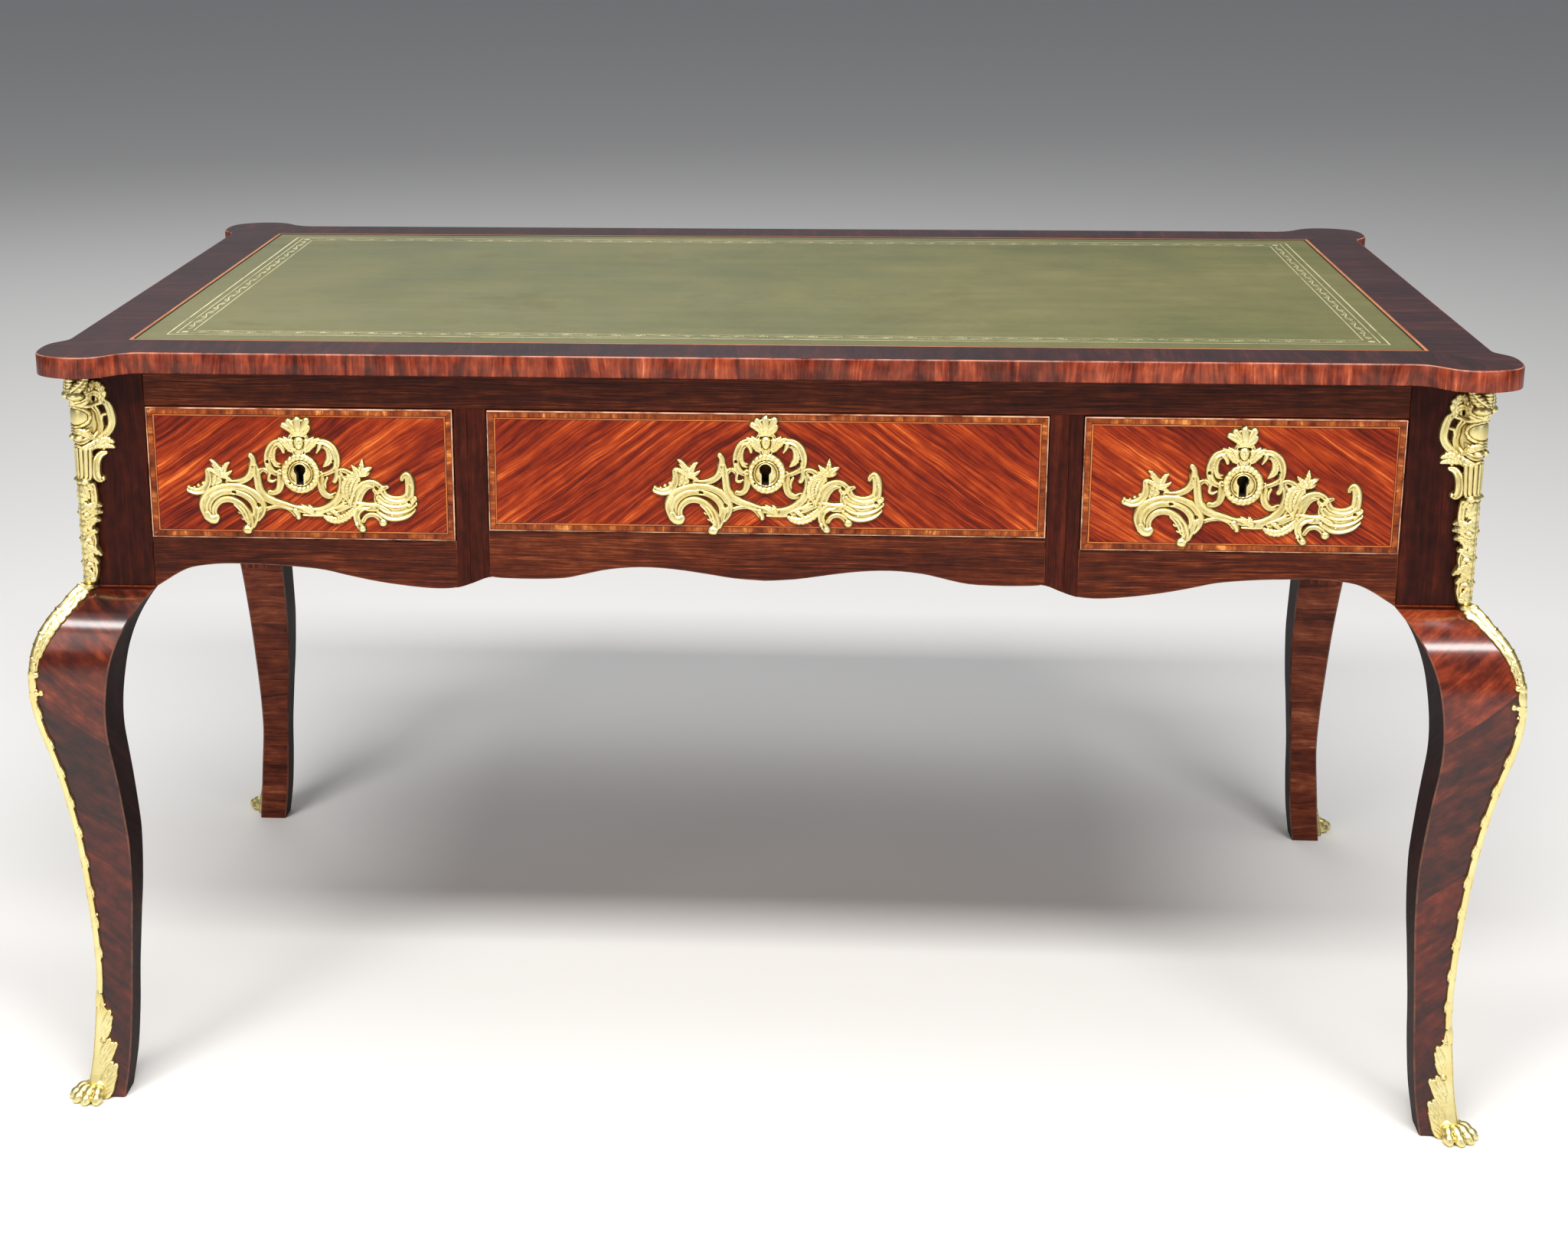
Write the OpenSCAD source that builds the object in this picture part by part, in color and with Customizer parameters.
// Flat writing desk with a shaped top, three frieze drawers and four cabriole legs.
// Millimetres, +Z up, origin on the floor below the middle of the desk, front towards -Y.

/* [Overall] */
// Height of the writing surface above the floor
desk_h = 780; // [772:1:790]
// Width of the top between its straight side edges
top_w = 1356; // [1336:2:1376]
// Depth of the top between its straight front and back edges
top_d = 794; // [784:2:804]
// Thickness of the top
top_t = 20.5; // [19:0.5:22]

/* [Frame] */
// Width and depth of the square post above each knee
post_w = 58; // [56:1:60]
// How far the top overhangs the side frieze
side_overhang = 22; // [18:1:26]
// How far the top overhangs the front frieze
front_overhang = 28; // [26:1:30]
// Thickness of the frieze rails, aprons and panels
rail_t = 22; // [20:1:23]
// Width of the upright between two drawers
stile_w = 31.2; // [30:0.4:36]
// Height of the knee's shoulder above the floor
knee_z = 540; // [539:1:541]
// Height of the underside of the top front rail
rail_z = 722.5; // [721:0.5:724]

/* [Drawers] */
// Half width of the middle drawer opening
mid_half = 267.2; // [264:0.2:276]
// Height of the floor of the side drawer openings
side_z = 591; // [590:0.5:592]
// Height of the floor of the middle drawer opening
mid_z = 602; // [600:0.5:604]
// Gap round each drawer front
front_gap = 1; // [0.8:0.1:1.2]
// Thickness of a drawer front
front_t = 20; // [19:0.5:21]
// How far a drawer front stands proud of the frieze
front_proud = 2.5; // [2:0.5:3]
// Thickness of the drawer sides
side_t = 9; // [8:0.5:10]
// Thickness of the drawer bottoms
bottom_t = 6.5; // [6:0.5:7]
// Length of the drawer box behind its front
box_l = 588; // [560:1:600]

/* [Top covering] */
// Half width of the leather
leather_hx = 615; // [605:1:620]
// Half depth of the leather
leather_hy = 331; // [325:1:334]
// Width of the light line between leather and border
string_w = 4; // [3:0.5:5]
// Thickness of leather and border veneer
skin_t = 1.2; // [1:0.1:1.5]

/* [Locks] */
// Width of a lock case
lock_w = 70; // [64:1:76]
// Height of a lock case
lock_h = 80; // [76:1:82]
// Depth of a lock case
lock_d = 10; // [9.5:0.1:10.5]
// Width of a lock bolt
bolt_w = 24; // [20:1:26]
// Travel of a lock bolt
bolt_travel = 7; // [5:0.5:7]
// Height of the side drawers' keyholes above the floor
key_z = 662; // [660:0.5:664]
// How much higher the middle drawer's keyhole sits
key_lift = 5.5; // [4:0.5:6]
// Radius of the keyhole's round part
key_r = 5.5; // [5:0.1:6]

/* [Mounts] */
// Thickness of the pierced keyhole mounts
mount_t = 4; // [3:0.5:5]
// Width of the pierced keyhole mounts
esc_w = 222; // [214:1:226]
// Radius of the small fixing pins
pin_r = 1.2; // [1:0.1:1.4]
// Radius of the screws under the top
screw_r = 2.5; // [2:0.1:3]

/* [Hidden] */
$fn = 48;
hw = top_w/2;                    // straight half width of the top
hd = top_d/2;                    // straight half depth of the top
px = hw - side_overhang;         // outer face of the posts, side
py = hd - front_overhang;        // outer face of the posts, front
pi = px - post_w;                // inner face of the posts
qi = py - post_w;                // inner face of the posts, front to back
top_z = desk_h - top_t;          // underside of the top
core_z = desk_h - skin_t;        // upper face of the top's core
ri = py - rail_t;                // inner face of the front and back rails
ei = px - rail_t;                // inner face of the end panels
out_x = mid_half + stile_w;      // inner side of a side drawer opening
part_x = mid_half + stile_w/2;   // middle of a partition
part_t = 16;
face_y = -(py + front_proud);    // front face of the drawer fronts
back_y = face_y + front_t;       // back face of the drawer fronts

// drawer openings: [left edge, right edge, floor, ceiling, height of the keyhole]
OPEN_L = [-pi, -out_x, side_z, rail_z, key_z];
OPEN_C = [-mid_half, mid_half, mid_z, rail_z, key_z + key_lift];
OPEN_R = [out_x, pi, side_z, rail_z, key_z];

// a smooth curve through control points, n steps between two of them
function cr1(a, b, c, d, t) = 0.5*((2*b) + (c - a)*t + (2*a - 5*b + 4*c - d)*t*t + (3*b - a - 3*c + d)*t*t*t);
function smooth(p, n) = let (m = len(p) - 1) concat(
  [for (i = [0:m-1]) for (k = [0:n-1]) cr1(p[max(i-1, 0)], p[i], p[i+1], p[min(i+2, m)], k/n)], [p[m]]);
function closed(p, n) = let (m = len(p))
  [for (i = [0:m-1]) for (k = [0:n-1]) cr1(p[(i+m-1)%m], p[i], p[(i+1)%m], p[(i+2)%m], k/n)];
function rev(p) = [for (i = [len(p)-1:-1:0]) p[i]];

// ---- leg ----------------------------------------------------------------
// [height, how far the outer edge stands outside the post's corner]
LEG_OUT = [[knee_z, 8.5], [535, 17.5], [528, 26], [516, 37], [504, 44.6], [492, 49.4], [480, 52.4],
  [467, 54], [455, 54.6], [443, 54.4], [426, 52.6], [406, 48.9], [387, 44.5], [366, 40.1],
  [345, 36.2], [323, 32.8], [302, 29.9], [284, 27.6], [260, 25.4], [240, 23.9], [216, 22.3], [194, 21],
  [172, 20.1], [149, 19.6], [128, 19.8], [109, 21], [88, 22.9], [67, 24.8], [46, 26.7], [25, 29.1], [0, 32]];
// [height, how far the inner edge lies inside the post's corner]
LEG_IN = [[0, 1.4], [30, 6.3], [52, 8.9], [88, 11.6], [118, 13], [138, 14.1], [160, 15.7], [190, 17.8],
  [215, 19.8], [245, 21.3], [277, 21.9], [297, 21.1], [319, 19.7], [343, 18], [365, 16.1], [390, 14],
  [410, 13.8], [431, 15.2], [453, 18], [474, 21.9], [495, 28.5], [512, 36.6], [527, 46.5], [knee_z, post_w]];

function out_curve(off, z1) = [for (p = smooth(LEG_OUT, 2)) if (p[0] <= z1) [-(p[1] + off), p[0]]];
function leg_outline() = concat(
  [[0, top_z], [0, knee_z]], out_curve(0, knee_z),
  [for (p = smooth(LEG_IN, 2)) [p[1], p[0]]], [[post_w, top_z]]);

module on_front(l = 200) { translate([0, l/2, 0]) rotate([90, 0, 0]) linear_extrude(l) children(); }
module on_side(l = 200) { translate([-l/2, 0, 0]) rotate([90, 0, 90]) linear_extrude(l) children(); }

// bandsawn from two faces: the same outline from the front and from the side
module leg_raw() {
  intersection() { on_front() polygon(leg_outline()); on_side() polygon(leg_outline()); }
}
// put a thing made at the front left corner, post corner at the origin, to a corner
module corner(sx, sy) {
  if (sx < 0 && sy < 0) translate([-px, -py, 0]) children();
  if (sx > 0 && sy < 0) translate([px, -py, 0]) mirror([1, 0, 0]) children();
  if (sx < 0 && sy > 0) translate([-px, py, 0]) mirror([0, 1, 0]) children();
  if (sx > 0 && sy > 0) translate([px, py, 0]) mirror([1, 0, 0]) mirror([0, 1, 0]) children();
}
module leg(sx, sy) { color([0.29, 0.13, 0.09]) difference() {
  corner(sx, sy) leg_raw();
  corner(sx, sy) frame_pins(); } }

// ---- frieze ---------------------------------------------------------------
// lower edge of the front and back aprons, right half, from the middle out
EDGE = [[0, 555.6], [29, 557.5], [59, 562], [89, 566], [120, 567.5], [150, 565], [173, 560], [195, 555.4],
  [226, 554], [256, 554.6], [268, 555.3], [283, 549.5], [296, 545], [308, 543.2], [324, 543], [347, 545],
  [377, 549], [407, 555], [429, 560], [452, 562.5], [474, 564], [504, 565], [526, 565], [541, 564],
  [560, 561], [574, 555], [587, 547], [pi, knee_z]];
EDGE_S = smooth(EDGE, 3);
function edge_all() = concat([for (p = rev(EDGE_S)) [-p[0], p[1]]], [for (i = [1:len(EDGE_S)-1]) EDGE_S[i]]);
function edge_z(x) = lookup(abs(x), EDGE_S);
function apron_outline(x0, x1, zt) = concat([[x0, zt], [x0, edge_z(x0)]],
  [for (p = edge_all()) if (p[0] > x0 + 0.5 && p[0] < x1 - 0.5) p], [[x1, edge_z(x1)], [x1, zt]]);
module front_plate(pts, t = rail_t) { translate([0, -py + t, 0]) rotate([90, 0, 0]) linear_extrude(t) polygon(pts); }

// lower edge of the end panels, from the middle to a post
END_EDGE = [[0, 546], [35, 547], [70, 549.5], [110, 554], [150, 560], [190, 564], [225, 565.5], [250, 564.5],
  [270, 561], [285, 555], [298, 547], [qi, knee_z]];
function end_edge() = let (s = smooth(END_EDGE, 3)) concat([for (p = rev(s)) [-p[0], p[1]]], [for (i = [1:len(s)-1]) s[i]]);

module front_top_rail() { color([0.4, 0.2, 0.13]) difference() {
  translate([-pi, -py, rail_z]) cube([2*pi, rail_t, top_z - rail_z]);
  for (o = [OPEN_L, OPEN_C, OPEN_R]) translate([(o[0]+o[1])/2 - bolt_w/2 - 2, back_y - lock_d/2 - 3.6, rail_z - 1])
    cube([bolt_w + 4, 7.2, 11]);
  rail_screws(); } }
module apron(x0, x1, zt) { color([0.45, 0.23, 0.14]) front_plate(apron_outline(x0, x1, zt)); }
module divider_stile(s) { color([0.33, 0.16, 0.11])
  if (s < 0) front_plate(apron_outline(-out_x, -mid_half, rail_z));
  else front_plate(apron_outline(mid_half, out_x, rail_z)); }
module end_panel(s) { color([0.42, 0.2, 0.13]) translate([s > 0 ? ei : -px, 0, 0]) rotate([90, 0, 90])
  linear_extrude(rail_t) polygon(concat([[-qi, top_z]], end_edge(), [[qi, top_z]])); }
module back_panel() { color([0.42, 0.2, 0.13]) difference() {
  mirror([0, 1, 0]) front_plate(apron_outline(-pi, pi, top_z));
  for (o = [OPEN_L, OPEN_C, OPEN_R]) mirror([0, 1, 0]) esc_pins(o); } }

// ---- inside the carcass -----------------------------------------------------
module partition(s) { color([0.7, 0.55, 0.36]) translate([s*part_x - part_t/2, -ri, 566]) cube([part_t, 2*ri, top_z - 566]); }
module pair() { children(); mirror([1, 0, 0]) children(); }
pf = part_x + part_t/2;  // outer face of a partition
pn = part_x - part_t/2;  // inner face of a partition
module drawer_runners() { color([0.72, 0.58, 0.4]) pair() {
  translate([pi - 18, -ri, side_z - 18]) cube([18, 2*ri, 18]);
  translate([pf, -ri, side_z - 18]) cube([30, 2*ri, 18]);
  translate([pn - 30, -ri, mid_z - 18]) cube([30, 2*ri, 18]); } }
module drawer_kickers() { color([0.72, 0.58, 0.4]) pair() {
  translate([pi - 18, -ri, rail_z]) cube([18, 2*ri, 16]);
  translate([pf, -ri, rail_z]) cube([30, 2*ri, 16]);
  translate([pn - 30, -ri, rail_z]) cube([30, 2*ri, 16]); } }
module drawer_guides() { color([0.66, 0.52, 0.35]) pair() {
  translate([pi, -qi, side_z - 18]) cube([ei - pi, 2*qi, 42]);
  translate([pf, -ri, side_z]) cube([out_x - pf, 2*ri, 24]);
  translate([mid_half, -ri, mid_z]) cube([pn - mid_half, 2*ri, 24]); } }
stop_y = back_y + box_l + 0.5;
module drawer_stops() { color([0.62, 0.47, 0.3]) pair() {
  translate([pi - 16, stop_y, side_z]) cube([12, 22, 14]);
  translate([out_x + 4, stop_y, side_z]) cube([12, 22, 14]);
  translate([mid_half - 16, stop_y, mid_z]) cube([12, 22, 14]); } }
module block() { translate([0, 0, rail_z + 18]) linear_extrude(top_z - rail_z - 18) polygon([[0, 0], [34, 0], [0, 34]]); }
module corner_blocks() { color([0.7, 0.55, 0.38]) difference() {
  for (mx = [0, 1]) for (my = [0, 1]) mirror([mx, 0, 0]) mirror([0, my, 0]) translate([-pi, -ri, 0]) block();
  block_screws(); } }

// ---- top --------------------------------------------------------------------
// one eared corner, measured from where the straight edges would meet: [outwards to the side, outwards to the front]
EAR = [[0, -68], [1.2, -60], [6, -52], [12, -43], [15, -32], [15.6, -16], [13.5, 1], [7, 14], [-6, 23],
  [-21, 28], [-37, 28], [-50, 23.5], [-60, 15], [-68, 7], [-77, 1.8], [-86, 0]];
function ear_pts() = smooth(EAR, 3);
function top_outline() = concat(
  [for (p = ear_pts()) [-(hw + p[0]), -(hd + p[1])]],
  [for (p = rev(ear_pts())) [hw + p[0], -(hd + p[1])]],
  [for (p = ear_pts()) [hw + p[0], hd + p[1]]],
  [for (p = rev(ear_pts())) [-(hw + p[0]), hd + p[1]]]);
module rect(x, y) { polygon([[-x, -y], [x, -y], [x, y], [-x, y]]); }
module top_board() { color([0.36, 0.16, 0.12]) difference() {
  translate([0, 0, top_z]) linear_extrude(core_z - top_z) polygon(top_outline());
  rail_screws(); block_screws(); } }
module top_banding() { color([0.3, 0.15, 0.15]) translate([0, 0, core_z]) linear_extrude(skin_t) difference() {
  polygon(top_outline()); rect(leather_hx + string_w, leather_hy + string_w); } }
module top_stringing() { color([0.85, 0.6, 0.45]) translate([0, 0, core_z]) linear_extrude(skin_t) difference() {
  rect(leather_hx + string_w, leather_hy + string_w); rect(leather_hx, leather_hy); } }
module leather_top() { color([0.42, 0.47, 0.33]) translate([0, 0, core_z]) linear_extrude(skin_t) rect(leather_hx, leather_hy); }

// a screw with a countersunk head, tip up
module screw(z0, z1) { translate([0, 0, z0]) cylinder(r = screw_r, h = z1 - z0);
  translate([0, 0, z0]) cylinder(r1 = 2*screw_r, r2 = screw_r, h = screw_r); }
module rail_screws() { for (x = [-400, -140, 140, 400]) translate([x, -py + rail_t/2, 0]) screw(rail_z, top_z + 12); }
module block_screws() { for (sx = [-1, 1]) for (sy = [-1, 1]) translate([sx*(pi - 10), sy*(ri - 10), 0]) screw(rail_z + 18, top_z + 12); }
module top_screws() { color([0.45, 0.43, 0.4]) { rail_screws(); block_screws(); } }

// ---- gilt mounts on the frame ---------------------------------------------
// outline of the corner mount on one face: [inwards from the post's corner, height]
CM = [[-7, 755], [14, 756], [20, 745], [18, 728], [24, 716], [26, 704], [20, 690], [22, 683], [20, 674],
  [10, 664], [7, 654], [14, 644], [6, 636], [6, 618], [8, 606], [3, 590], [4, 570], [2, 552], [-7, 552]];
module corner_mount_raw() { difference() {
  union() {
    intersection() {
      on_front(60) polygon(concat([[-7, 755]], [for (p = smooth([for (i = [1:17]) CM[i]], 2)) p], [[-7, 552]]));
      union() { translate([-7, -7, 552]) cube([40, 7, 204]); translate([-7, -7, 552]) cube([7, 9, 204]); } }
    intersection() {
      on_side(60) polygon(concat([[-7, 755]], [for (p = smooth([for (i = [1:17]) CM[i]], 2)) p], [[-7, 552]]));
      translate([-7, -7, 552]) cube([7, 40, 204]); }
    translate([-4, -4, 556]) cylinder(r = 9, h = 104);
    translate([-6, -6, 656]) sphere(r = 8);
    translate([-4, -4, 742]) sphere(r = 10);
    translate([-5, -5, 556]) sphere(r = 8); }
  translate([0, 0, 400]) cube([post_w, post_w, 400]);
  on_front(60) for (c = [[12, 722], [15, 708]]) translate(c) circle(r = 3);
  frame_pins(); } }
module corner_mounts() { color([0.83, 0.72, 0.42]) for (sx = [-1, 1]) for (sy = [-1, 1]) corner(sx, sy) corner_mount_raw(); }

// strip up the outer edge of a leg, lapping a little over both faces
module filet_outline() { polygon(concat(out_curve(3.5, 536), rev(out_curve(-7, 536)))); }
module filet_raw() { difference() {
  intersection() {
    on_front() filet_outline();
    on_side() filet_outline();
    translate([-100, -100, 119]) cube([200, 200, 417]); }
  leg_raw();
  frame_pins(); } }
module leg_filets() { color([0.8, 0.69, 0.4]) for (sx = [-1, 1]) for (sy = [-1, 1]) corner(sx, sy) filet_raw(); }

// shoe: leaves round the outer edge and a paw on the floor
module shoe_outline() { polygon(concat(out_curve(5, 130), rev(out_curve(-25, 130)))); }
module sabot_raw() { difference() {
  union() {
    intersection() {
      on_front() shoe_outline();
      on_side() shoe_outline();
      translate([-100, -100, 0]) cube([200, 200, 117]); }
    intersection() {
      union() {
        translate([-26, -26, 14]) sphere(r = 20);
        translate([-45, -38, 9]) sphere(r = 11);
        translate([-41, -45, 9.5]) sphere(r = 12);
        translate([-33, -46, 9.5]) sphere(r = 12); }
      translate([-100, -100, 0]) cube([200, 200, 60]); } }
  leg_raw();
  frame_pins(); } }
module sabot(sx, sy) { color([0.83, 0.72, 0.42]) corner(sx, sy) sabot_raw(); }

// fixing pins of the frame's mounts, at the front left corner
module frame_pins() { for (c = [[12, 740, -7, 14], [16, 680, -7, 14], [-50.5, 450, -58, -43], [-17.5, 200, -25, -9], [-18.5, 96, -28, -10]])
  translate([c[0], c[2], c[1]]) rotate([-90, 0, 0]) cylinder(r = pin_r, h = c[3] - c[2]); }
module mount_pins() { color([0.7, 0.58, 0.3]) {
  for (sx = [-1, 1]) for (sy = [-1, 1]) corner(sx, sy) frame_pins();
  for (o = [OPEN_L, OPEN_C, OPEN_R]) mirror([0, 1, 0]) esc_pins(o); } }

// ---- drawers --------------------------------------------------------------
module keyhole(o, y0, y1) { translate([(o[0]+o[1])/2, y0, o[4]]) rotate([-90, 0, 0]) {
  cylinder(r = key_r, h = y1 - y0);
  translate([-3.5, 0, 0]) cube([7, 15, y1 - y0]); } }
module lock_space(o) { translate([(o[0]+o[1])/2 - lock_w/2, back_y - lock_d, o[3] - front_gap - lock_h])
  cube([lock_w, lock_d, lock_h]); }
module bottom_box(o) { translate([o[0] + front_gap + side_t/2, back_y - 5, o[2] + 8.5])
  cube([o[1] - o[0] - 2*front_gap - side_t, box_l + 5, bottom_t]); }
// dovetails that tie a drawer side into the front, four up its height
module tails(o, h) { n = 4; p = h/n;
  for (i = [0:n-1]) translate([0, back_y, o[2] + 1.5 + (i + 0.5)*p]) rotate([90, 0, 90])
    linear_extrude(side_t) polygon([[0, -p*0.28], [-12, -p*0.4], [-12, p*0.4], [0, p*0.28]]); }
module side_raw(o, x) { h = o[3] - o[2] - 16;
  translate([x, back_y, o[2] + 0.5]) cube([side_t, box_l, h]);
  translate([x, 0, 0]) tails(o, h - 2); }
module sides_raw(o) { side_raw(o, o[0] + front_gap); side_raw(o, o[1] - front_gap - side_t); }

module drawer_front(o) { color([0.6, 0.26, 0.12]) difference() {
  translate([o[0] + front_gap, face_y, o[2] + front_gap]) cube([o[1] - o[0] - 2*front_gap, front_t, o[3] - o[2] - 2*front_gap]);
  sides_raw(o);
  bottom_box(o);
  lock_space(o);
  keyhole(o, face_y - 1, back_y);
  esc_pins(o); } }
module drawer_sides(o) { color([0.75, 0.6, 0.4]) difference() { sides_raw(o); bottom_box(o); } }
module drawer_bottom(o) { color([0.78, 0.65, 0.46]) bottom_box(o); }
module drawer_back(o) { color([0.75, 0.6, 0.4]) translate([o[0] + front_gap + side_t, back_y + box_l - 20, o[2] + 8.5 + bottom_t])
  cube([o[1] - o[0] - 2*front_gap - 2*side_t, side_t, o[3] - o[2] - 40]); }
module lock_case(o) { xc = (o[0]+o[1])/2; zt = o[3] - front_gap; color([0.62, 0.52, 0.28]) {
  difference() {
    lock_space(o);
    translate([xc - bolt_w/2 - 0.5, back_y - lock_d/2 - 3.3, o[4] - 14]) cube([bolt_w + 1, 6.6, zt - o[4] + 16]);
    keyhole(o, back_y - lock_d - 1, back_y - lock_d/2); }
  translate([xc, back_y - 8, o[4]]) rotate([-90, 0, 0]) cylinder(r = 1.6, h = 7); } }
module lock_bolt(o) { xc = (o[0]+o[1])/2; zt = o[3] - front_gap; color([0.5, 0.48, 0.45]) difference() {
  translate([xc - bolt_w/2, back_y - lock_d/2 - 2.8, o[4] + 7]) cube([bolt_w, 5.6, zt - 0.2 - o[4] - 7]);
  translate([xc - 4, back_y - lock_d/2 - 4, o[4] + 6]) cube([8, 8, 4]); } }

// pierced keyhole mount: outer outline and openings, from the middle of the keyhole
ESC = [[0, 50], [10, 46], [11, 33], [18, 30], [27, 28], [35, 20], [37, 7], [37, 1], [43, 1], [49, -4], [49, 4],
  [60, 10], [68, 2], [66, -7], [75, -12], [82, -18], [87, -24], [94, -24], [100, -16], [98, -6], [104, -4],
  [108, -12], [106, -25], [109, -33], [106, -43], [98, -48], [84, -48], [77, -55], [72, -50], [72, -44],
  [65, -42], [59, -48], [58, -58], [53, -58], [50, -48], [42, -47], [32, -50], [21, -45], [4, -44], [-4, -48],
  [-9, -42], [-25, -39], [-38, -45], [-50, -59], [-57, -57], [-55, -48], [-63, -39], [-75, -37], [-81, -43],
  [-81, -53], [-90, -53], [-97, -39], [-98, -29], [-104, -28], [-108, -21], [-98, -19], [-89, -12], [-90, -4],
  [-82, -1], [-84, 5], [-75, 2], [-67, 3], [-65, -6], [-58, -8], [-49, -4], [-47, 5], [-47, 13], [-41, 10],
  [-40, 1], [-36, 2], [-36, 12], [-31, 23], [-20, 28], [-11, 33], [-15, 43]];
ESC_LOW = [[-36, -10], [-34, -20], [-20, -30], [-3, -34], [17, -35], [30, -29], [37, -17], [35, -9], [26, -12],
  [26, -20], [18, -16], [12, -20], [0, -24], [-12, -20], [-18, -16], [-24, -21], [-27, -11]];
ESC_UP = [[-25, 20], [-7, 20], [-12, 13], [-18, 5], [-25, 9]];
wk = esc_w/216;   // the outlines above are 216 mm wide
module esc_outline(s) { difference() {
  polygon(closed([for (p = ESC) [s*wk*p[0], p[1]]], 2));
  polygon(closed([for (p = ESC_LOW) [s*wk*p[0], p[1]]], 2));
  polygon(closed([for (p = ESC_UP) [wk*p[0], p[1]]], 3));
  polygon(closed([for (p = rev(ESC_UP)) [-wk*p[0], p[1]]], 3)); } }
module esc_raw(o, s = 1) { xc = (o[0]+o[1])/2; difference() {
  union() {
    translate([xc, face_y, o[4]]) rotate([90, 0, 0]) linear_extrude(mount_t) esc_outline(s);
    translate([xc, face_y, o[4] - 5]) rotate([90, 0, 0]) cylinder(r = 18, h = mount_t + 2); }
  keyhole(o, face_y - mount_t - 3, face_y + 1);
  esc_pins(o); } }
// four small pins through a keyhole mount
module esc_pins(o) { xc = (o[0]+o[1])/2;
  for (c = [[-86, -28], [94, -34], [-4, 38], [46, -30]]) translate([xc + wk*c[0], face_y - mount_t, o[4] + c[1]])
    rotate([-90, 0, 0]) cylinder(r = pin_r, h = mount_t + 9); }
module escutcheon(o) { color([0.86, 0.76, 0.46]) esc_raw(o); }
module escutcheon_pins(o) { color([0.7, 0.58, 0.3]) esc_pins(o); }

// the back repeats the front with fixed panels
module false_front(o) { difference() {
  translate([o[0] + front_gap, face_y, o[2] + front_gap])
    cube([o[1] - o[0] - 2*front_gap, front_proud, o[3] - o[2] - 2*front_gap]);
  esc_pins(o); } }
module back_false_fronts() { color([0.6, 0.26, 0.12]) mirror([0, 1, 0]) for (o = [OPEN_L, OPEN_C, OPEN_R]) false_front(o); }
module back_escutcheons() { color([0.86, 0.76, 0.46]) mirror([0, 1, 0]) for (o = [OPEN_L, OPEN_C, OPEN_R]) esc_raw(o); }

leg(-1, -1);  // leg_front_left
leg(1, -1);  // leg_front_right
leg(-1, 1);  // leg_back_left
leg(1, 1);  // leg_back_right
front_top_rail();
apron(-pi, -out_x, side_z);  // apron_front_left
apron(-mid_half, mid_half, mid_z);  // apron_front_centre
apron(out_x, pi, side_z);  // apron_front_right
divider_stile(-1);  // divider_stile_left
divider_stile(1);  // divider_stile_right
end_panel(-1);  // end_panel_left
end_panel(1);  // end_panel_right
back_panel();
back_false_fronts();
partition(-1);  // partition_left
partition(1);  // partition_right
drawer_runners();
drawer_kickers();
drawer_guides();
drawer_stops();
corner_blocks();
top_board();
top_banding();
top_stringing();
leather_top();
top_screws();
corner_mounts();
leg_filets();
sabot(-1, -1);  // sabot_front_left
sabot(1, -1);  // sabot_front_right
sabot(-1, 1);  // sabot_back_left
sabot(1, 1);  // sabot_back_right
back_escutcheons();
mount_pins();
drawer_front(OPEN_L);  // drawer_front_left
drawer_sides(OPEN_L);  // drawer_sides_left
drawer_back(OPEN_L);  // drawer_back_left
drawer_bottom(OPEN_L);  // drawer_bottom_left
lock_case(OPEN_L);  // lock_case_left
lock_bolt(OPEN_L);  // lock_bolt_left
escutcheon(OPEN_L);  // escutcheon_left
escutcheon_pins(OPEN_L);  // escutcheon_pins_left
drawer_front(OPEN_C);  // drawer_front_centre
drawer_sides(OPEN_C);  // drawer_sides_centre
drawer_back(OPEN_C);  // drawer_back_centre
drawer_bottom(OPEN_C);  // drawer_bottom_centre
lock_case(OPEN_C);  // lock_case_centre
lock_bolt(OPEN_C);  // lock_bolt_centre
escutcheon(OPEN_C);  // escutcheon_centre
escutcheon_pins(OPEN_C);  // escutcheon_pins_centre
drawer_front(OPEN_R);  // drawer_front_right
drawer_sides(OPEN_R);  // drawer_sides_right
drawer_back(OPEN_R);  // drawer_back_right
drawer_bottom(OPEN_R);  // drawer_bottom_right
lock_case(OPEN_R);  // lock_case_right
lock_bolt(OPEN_R);  // lock_bolt_right
escutcheon(OPEN_R);  // escutcheon_right
escutcheon_pins(OPEN_R);  // escutcheon_pins_right
